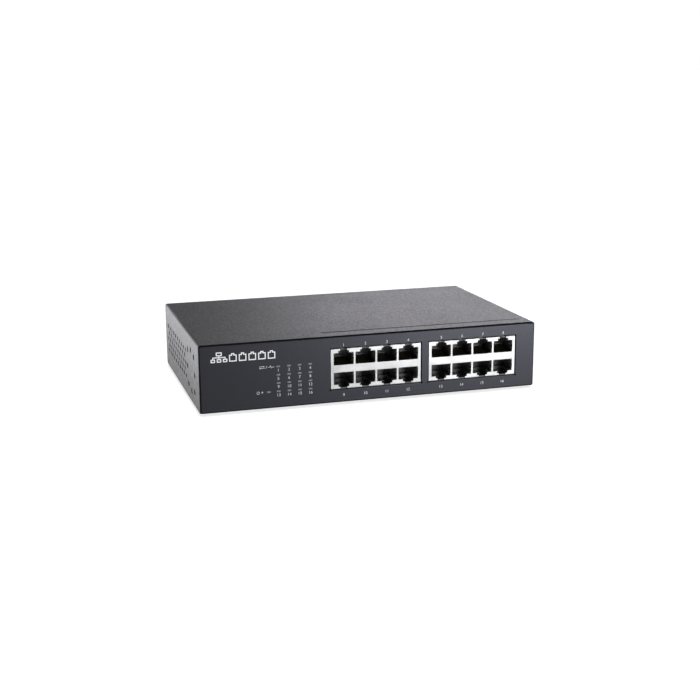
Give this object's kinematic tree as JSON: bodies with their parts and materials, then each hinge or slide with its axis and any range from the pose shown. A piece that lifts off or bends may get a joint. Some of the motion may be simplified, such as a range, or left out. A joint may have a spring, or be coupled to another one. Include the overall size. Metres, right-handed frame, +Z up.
{
  "type": "desktop network switch",
  "caption": "Low steel desktop network switch with two stacked blocks of modular jacks, a lamp field, vented sides and a rear mains inlet.",
  "frame": {"origin": "under the middle of the whole object, on the surface its feet stand on", "axes": "+Z up, -Y out of the front panel, +X to the right as seen from the front"},
  "size_m": [0.217, 0.1362, 0.0436],
  "materials": {
    "case_paint": "charcoal powder coat",
    "cover_paint": "charcoal fine-texture powder coat",
    "label_film": "satin printed film",
    "foot_rubber": "matt",
    "black_screw": "black zinc",
    "shield_steel": "bright tin plate",
    "jack_plastic": "moulded black",
    "tinned_pin": "tinned",
    "gold_contact": "gold flash",
    "clear_pipe": "frosted clear",
    "board_green": "solder mask",
    "lamp_body": "cast lens",
    "header_plastic": "moulded nylon",
    "chip_black": "moulded epoxy",
    "bare_aluminium": "extruded",
    "capacitor_sleeve": "shrink sleeve",
    "ferrite": "sintered",
    "zinc_steel": "zinc plate",
    "board_tan": "phenolic board",
    "insulator_film": "fish paper",
    "winding_tape": "polyester tape",
    "yellow_box": "moulded box",
    "copper_winding": "enamelled wire",
    "fuse_glass": "ceramic tube",
    "inlet_plastic": "moulded",
    "nickel_pin": "nickel plate",
    "lead_brown": "wire sleeve",
    "lead_green": "wire sleeve",
    "lead_red": "wire sleeve",
    "print_white": "screen-printed ink",
    "print_grey": "thin screen-printed ink"
  },
  "bodies": {
    "case": {"chassis": "case_paint", "top_cover": "cover_paint", "front_label": "label_film", "rubber_feet": "foot_rubber", "cover_screws": "black_screw", "jack_shield_left": "shield_steel", "jack_shield_right": "shield_steel", "jack_housing_left": "jack_plastic", "jack_housing_right": "jack_plastic", "jack_pins_left": "tinned_pin", "jack_pins_right": "tinned_pin", "light_pipes": "clear_pipe", "lamp_board": "board_green", "lamps": "lamp_body", "pin_headers": "header_plastic", "main_board": "board_green", "switch_chip": "chip_black", "chip_heatsink": "bare_aluminium", "phy_chips": "chip_black", "line_transformers": "chip_black", "small_chips": "chip_black", "board_capacitors": "capacitor_sleeve", "power_inductors": "ferrite", "standoffs": "zinc_steel", "board_screws": "zinc_steel", "supply_board": "board_tan", "supply_insulator": "insulator_film", "supply_transformer": "winding_tape", "supply_heatsink": "bare_aluminium", "bulk_capacitor": "capacitor_sleeve", "output_capacitors": "capacitor_sleeve", "filter_capacitor": "yellow_box", "line_choke": "copper_winding", "mains_fuse": "fuse_glass", "supply_headers": "header_plastic", "inlet_body": "inlet_plastic", "inlet_pins": "nickel_pin", "inlet_screws": "black_screw", "mains_leads": "lead_brown", "earth_lead": "lead_green", "dc_leads": "lead_red", "earth_screw": "nickel_pin"},
    "contacts_01": {"port_contacts_01": "gold_contact"},
    "contacts_02": {"port_contacts_02": "gold_contact"},
    "contacts_03": {"port_contacts_03": "gold_contact"},
    "contacts_04": {"port_contacts_04": "gold_contact"},
    "contacts_05": {"port_contacts_05": "gold_contact"},
    "contacts_06": {"port_contacts_06": "gold_contact"},
    "contacts_07": {"port_contacts_07": "gold_contact"},
    "contacts_08": {"port_contacts_08": "gold_contact"},
    "contacts_09": {"port_contacts_09": "gold_contact"},
    "contacts_10": {"port_contacts_10": "gold_contact"},
    "contacts_11": {"port_contacts_11": "gold_contact"},
    "contacts_12": {"port_contacts_12": "gold_contact"},
    "contacts_13": {"port_contacts_13": "gold_contact"},
    "contacts_14": {"port_contacts_14": "gold_contact"},
    "contacts_15": {"port_contacts_15": "gold_contact"},
    "contacts_16": {"port_contacts_16": "gold_contact"}
  },
  "joints": [
    {"name": "contacts_01_flex", "type": "hinge", "parent": "case", "child": "contacts_01", "pos_m": [-0.01915, -0.06552, 0.02457], "axis": [-1, 0, 0], "range_deg": [0, 12], "stiffness_Nm_per_rad": 0.2, "springref_deg": -8.59},
    {"name": "contacts_02_flex", "type": "hinge", "parent": "case", "child": "contacts_02", "pos_m": [-0.00519, -0.06552, 0.02457], "axis": [-1, 0, 0], "range_deg": [0, 12], "stiffness_Nm_per_rad": 0.2, "springref_deg": -8.59},
    {"name": "contacts_03_flex", "type": "hinge", "parent": "case", "child": "contacts_03", "pos_m": [0.00878, -0.06552, 0.02457], "axis": [-1, 0, 0], "range_deg": [0, 12], "stiffness_Nm_per_rad": 0.2, "springref_deg": -8.59},
    {"name": "contacts_04_flex", "type": "hinge", "parent": "case", "child": "contacts_04", "pos_m": [0.02276, -0.06552, 0.02457], "axis": [-1, 0, 0], "range_deg": [0, 12], "stiffness_Nm_per_rad": 0.2, "springref_deg": -8.59},
    {"name": "contacts_05_flex", "type": "hinge", "parent": "case", "child": "contacts_05", "pos_m": [0.04464, -0.06552, 0.02457], "axis": [-1, 0, 0], "range_deg": [0, 12], "stiffness_Nm_per_rad": 0.2, "springref_deg": -8.59},
    {"name": "contacts_06_flex", "type": "hinge", "parent": "case", "child": "contacts_06", "pos_m": [0.05862, -0.06552, 0.02457], "axis": [-1, 0, 0], "range_deg": [0, 12], "stiffness_Nm_per_rad": 0.2, "springref_deg": -8.59},
    {"name": "contacts_07_flex", "type": "hinge", "parent": "case", "child": "contacts_07", "pos_m": [0.07258, -0.06552, 0.02457], "axis": [-1, 0, 0], "range_deg": [0, 12], "stiffness_Nm_per_rad": 0.2, "springref_deg": -8.59},
    {"name": "contacts_08_flex", "type": "hinge", "parent": "case", "child": "contacts_08", "pos_m": [0.08656, -0.06552, 0.02457], "axis": [-1, 0, 0], "range_deg": [0, 12], "stiffness_Nm_per_rad": 0.2, "springref_deg": -8.59},
    {"name": "contacts_09_flex", "type": "hinge", "parent": "case", "child": "contacts_09", "pos_m": [-0.01915, -0.06552, 0.02152], "axis": [1, 0, 0], "range_deg": [0, 12], "stiffness_Nm_per_rad": 0.2, "springref_deg": -8.59},
    {"name": "contacts_10_flex", "type": "hinge", "parent": "case", "child": "contacts_10", "pos_m": [-0.00519, -0.06552, 0.02152], "axis": [1, 0, 0], "range_deg": [0, 12], "stiffness_Nm_per_rad": 0.2, "springref_deg": -8.59},
    {"name": "contacts_11_flex", "type": "hinge", "parent": "case", "child": "contacts_11", "pos_m": [0.00878, -0.06552, 0.02152], "axis": [1, 0, 0], "range_deg": [0, 12], "stiffness_Nm_per_rad": 0.2, "springref_deg": -8.59},
    {"name": "contacts_12_flex", "type": "hinge", "parent": "case", "child": "contacts_12", "pos_m": [0.02276, -0.06552, 0.02152], "axis": [1, 0, 0], "range_deg": [0, 12], "stiffness_Nm_per_rad": 0.2, "springref_deg": -8.59},
    {"name": "contacts_13_flex", "type": "hinge", "parent": "case", "child": "contacts_13", "pos_m": [0.04464, -0.06552, 0.02152], "axis": [1, 0, 0], "range_deg": [0, 12], "stiffness_Nm_per_rad": 0.2, "springref_deg": -8.59},
    {"name": "contacts_14_flex", "type": "hinge", "parent": "case", "child": "contacts_14", "pos_m": [0.05862, -0.06552, 0.02152], "axis": [1, 0, 0], "range_deg": [0, 12], "stiffness_Nm_per_rad": 0.2, "springref_deg": -8.59},
    {"name": "contacts_15_flex", "type": "hinge", "parent": "case", "child": "contacts_15", "pos_m": [0.07258, -0.06552, 0.02152], "axis": [1, 0, 0], "range_deg": [0, 12], "stiffness_Nm_per_rad": 0.2, "springref_deg": -8.59},
    {"name": "contacts_16_flex", "type": "hinge", "parent": "case", "child": "contacts_16", "pos_m": [0.08656, -0.06552, 0.02152], "axis": [1, 0, 0], "range_deg": [0, 12], "stiffness_Nm_per_rad": 0.2, "springref_deg": -8.59}
  ]
}
